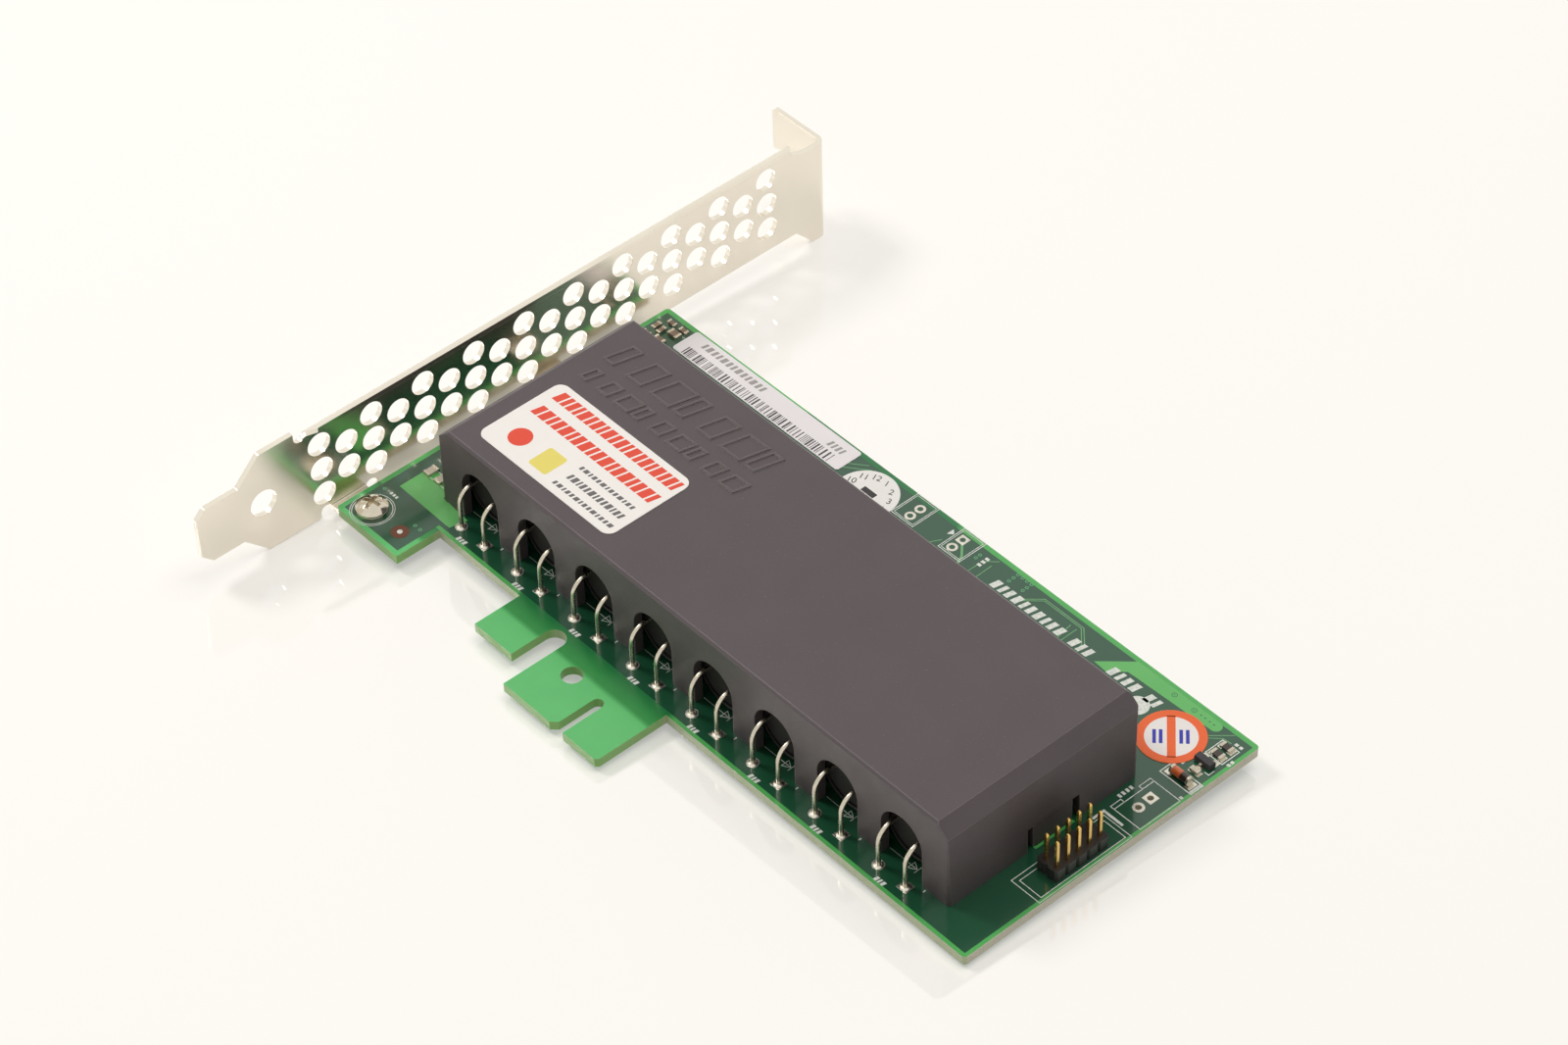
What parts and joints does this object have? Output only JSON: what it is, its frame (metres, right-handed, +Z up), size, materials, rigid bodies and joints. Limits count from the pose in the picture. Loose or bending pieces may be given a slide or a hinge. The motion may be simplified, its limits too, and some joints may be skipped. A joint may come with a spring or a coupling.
{
  "type": "raid battery module",
  "caption": "Backup power card in PCI Express form: vented bracket, green board with edge tabs, capacitors under a black arched cover, and a pin header.",
  "frame": {"origin": "middle of the footprint's box, on the ground under the bracket flange's lower corner", "axes": "+X from the bracket towards the far end of the board, +Y from the bracket's tongue towards its flange, +Z up from the board's component side"},
  "size_m": [0.1376, 0.12, 0.0222],
  "materials": {
    "circuit_board": "green solder mask over glass epoxy",
    "bracket_steel": "bright nickel plate",
    "screw_steel": "nickel plate",
    "cover_plastic": "fine moulded grain",
    "can_sleeve": "shrink sleeve",
    "seal_rubber": "matt",
    "tinned_wire": "tinned",
    "solder": "shiny solder",
    "header_plastic": "moulded",
    "gold_pin": "gold plate",
    "resistor": "chip with tinned ends",
    "epoxy": "moulded epoxy",
    "diode_glass": "glass with an orange glow",
    "white_ceramic": "chip with tinned ends",
    "chip": "chips with tinned ends",
    "cover_label": "printed, satin",
    "long_label": "printed, satin",
    "month_sticker": "printed, satin",
    "ring_sticker": "printed, satin"
  },
  "bodies": {
    "root": {"board": "circuit_board", "bracket": "bracket_steel", "bracket_screws": "screw_steel", "capacitor_cover": "cover_plastic", "lead_solder": "solder", "header_base": "header_plastic", "header_pins": "gold_pin", "header_solder": "solder", "corner_resistors": "resistor", "transistor_body": "epoxy", "transistor_legs": "tinned_wire", "diode_body": "diode_glass", "diode_caps": "tinned_wire", "ceramic_chip": "white_ceramic", "bracket_side_chips": "chip", "ear_chips": "white_ceramic", "cover_label": "cover_label", "long_label": "long_label", "month_sticker": "month_sticker", "ring_sticker": "ring_sticker", "capacitor_1": "can_sleeve", "capacitor_seal_1": "seal_rubber", "capacitor_leads_1": "tinned_wire", "capacitor_2": "can_sleeve", "capacitor_seal_2": "seal_rubber", "capacitor_leads_2": "tinned_wire", "capacitor_3": "can_sleeve", "capacitor_seal_3": "seal_rubber", "capacitor_leads_3": "tinned_wire", "capacitor_4": "can_sleeve", "capacitor_seal_4": "seal_rubber", "capacitor_leads_4": "tinned_wire", "capacitor_5": "can_sleeve", "capacitor_seal_5": "seal_rubber", "capacitor_leads_5": "tinned_wire", "capacitor_6": "can_sleeve", "capacitor_seal_6": "seal_rubber", "capacitor_leads_6": "tinned_wire", "capacitor_7": "can_sleeve", "capacitor_seal_7": "seal_rubber", "capacitor_leads_7": "tinned_wire", "capacitor_8": "can_sleeve", "capacitor_seal_8": "seal_rubber", "capacitor_leads_8": "tinned_wire"}
  },
  "joints": []
}
